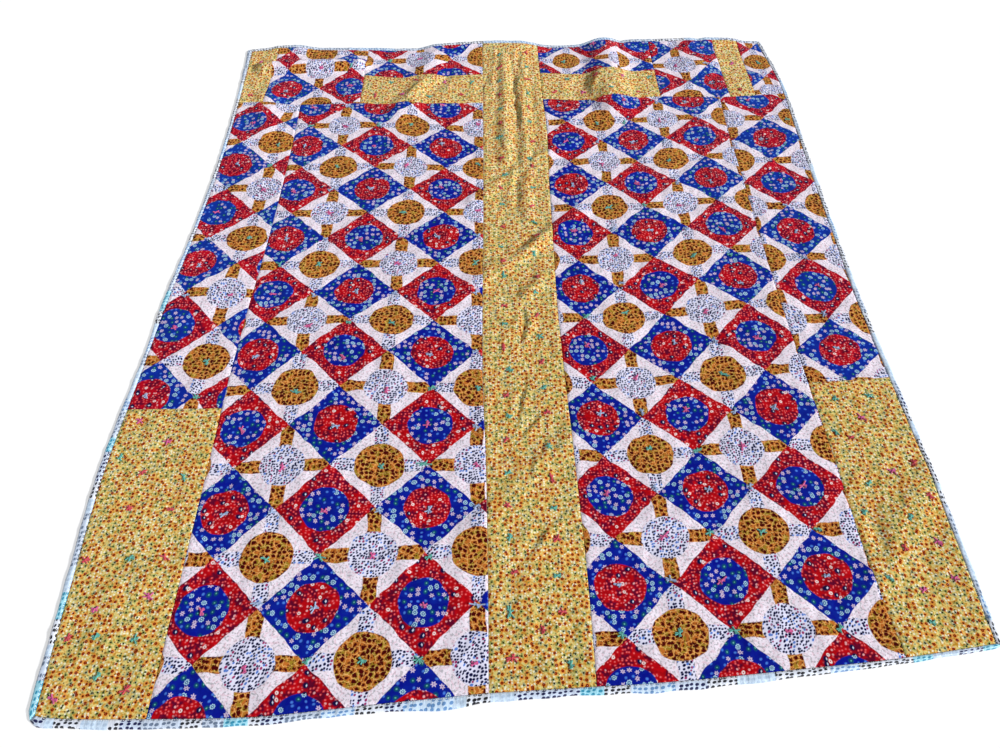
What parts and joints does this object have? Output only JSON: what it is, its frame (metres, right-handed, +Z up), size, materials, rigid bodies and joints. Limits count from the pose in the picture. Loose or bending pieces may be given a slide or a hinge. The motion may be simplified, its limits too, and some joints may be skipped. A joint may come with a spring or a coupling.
{
  "type": "patchwork quilt",
  "caption": "Patchwork quilt laid flat: squares-on-point print panels, a yellow calico cross and corner patches, pieced satiny binding, soft folds near the head.",
  "frame": {"origin": "centre of the quilt's outline, on the ground it lies on", "axes": "+Y from the foot to the head, where the cross-bars are; +X to the right as seen from the foot; +Z up"},
  "size_m": [1.8684, 2.3206, 0.0303],
  "materials": {
    "yellow_calico": "matt cotton calico, yellow, with a fine scatter of small orange flowers and green leaves",
    "print_cloth": "matt printed cotton, red and blue flowered squares on point on white, each with a round in the middle",
    "binding_satin": "pale satiny binding pieced from plain and dotted lengths, soft sheen",
    "tie_yarn": "matt wool yarn in pink, red and teal, tied and cut short"
  },
  "bodies": {
    "root": {"spine_strip": "yellow_calico", "left_cross_bar": "yellow_calico", "right_cross_bar": "yellow_calico", "head_left_patch": "yellow_calico", "head_right_patch": "yellow_calico", "foot_left_patch": "yellow_calico", "foot_right_patch": "yellow_calico", "left_main_panel": "print_cloth", "right_main_panel": "print_cloth", "left_side_strip": "print_cloth", "right_side_strip": "print_cloth", "head_left_print": "print_cloth", "head_left_strip": "print_cloth", "head_right_strip": "print_cloth", "head_right_print": "print_cloth", "head_corner_print": "print_cloth", "binding_left": "binding_satin", "binding_right": "binding_satin", "binding_foot": "binding_satin", "binding_head": "binding_satin"}
  },
  "joints": []
}
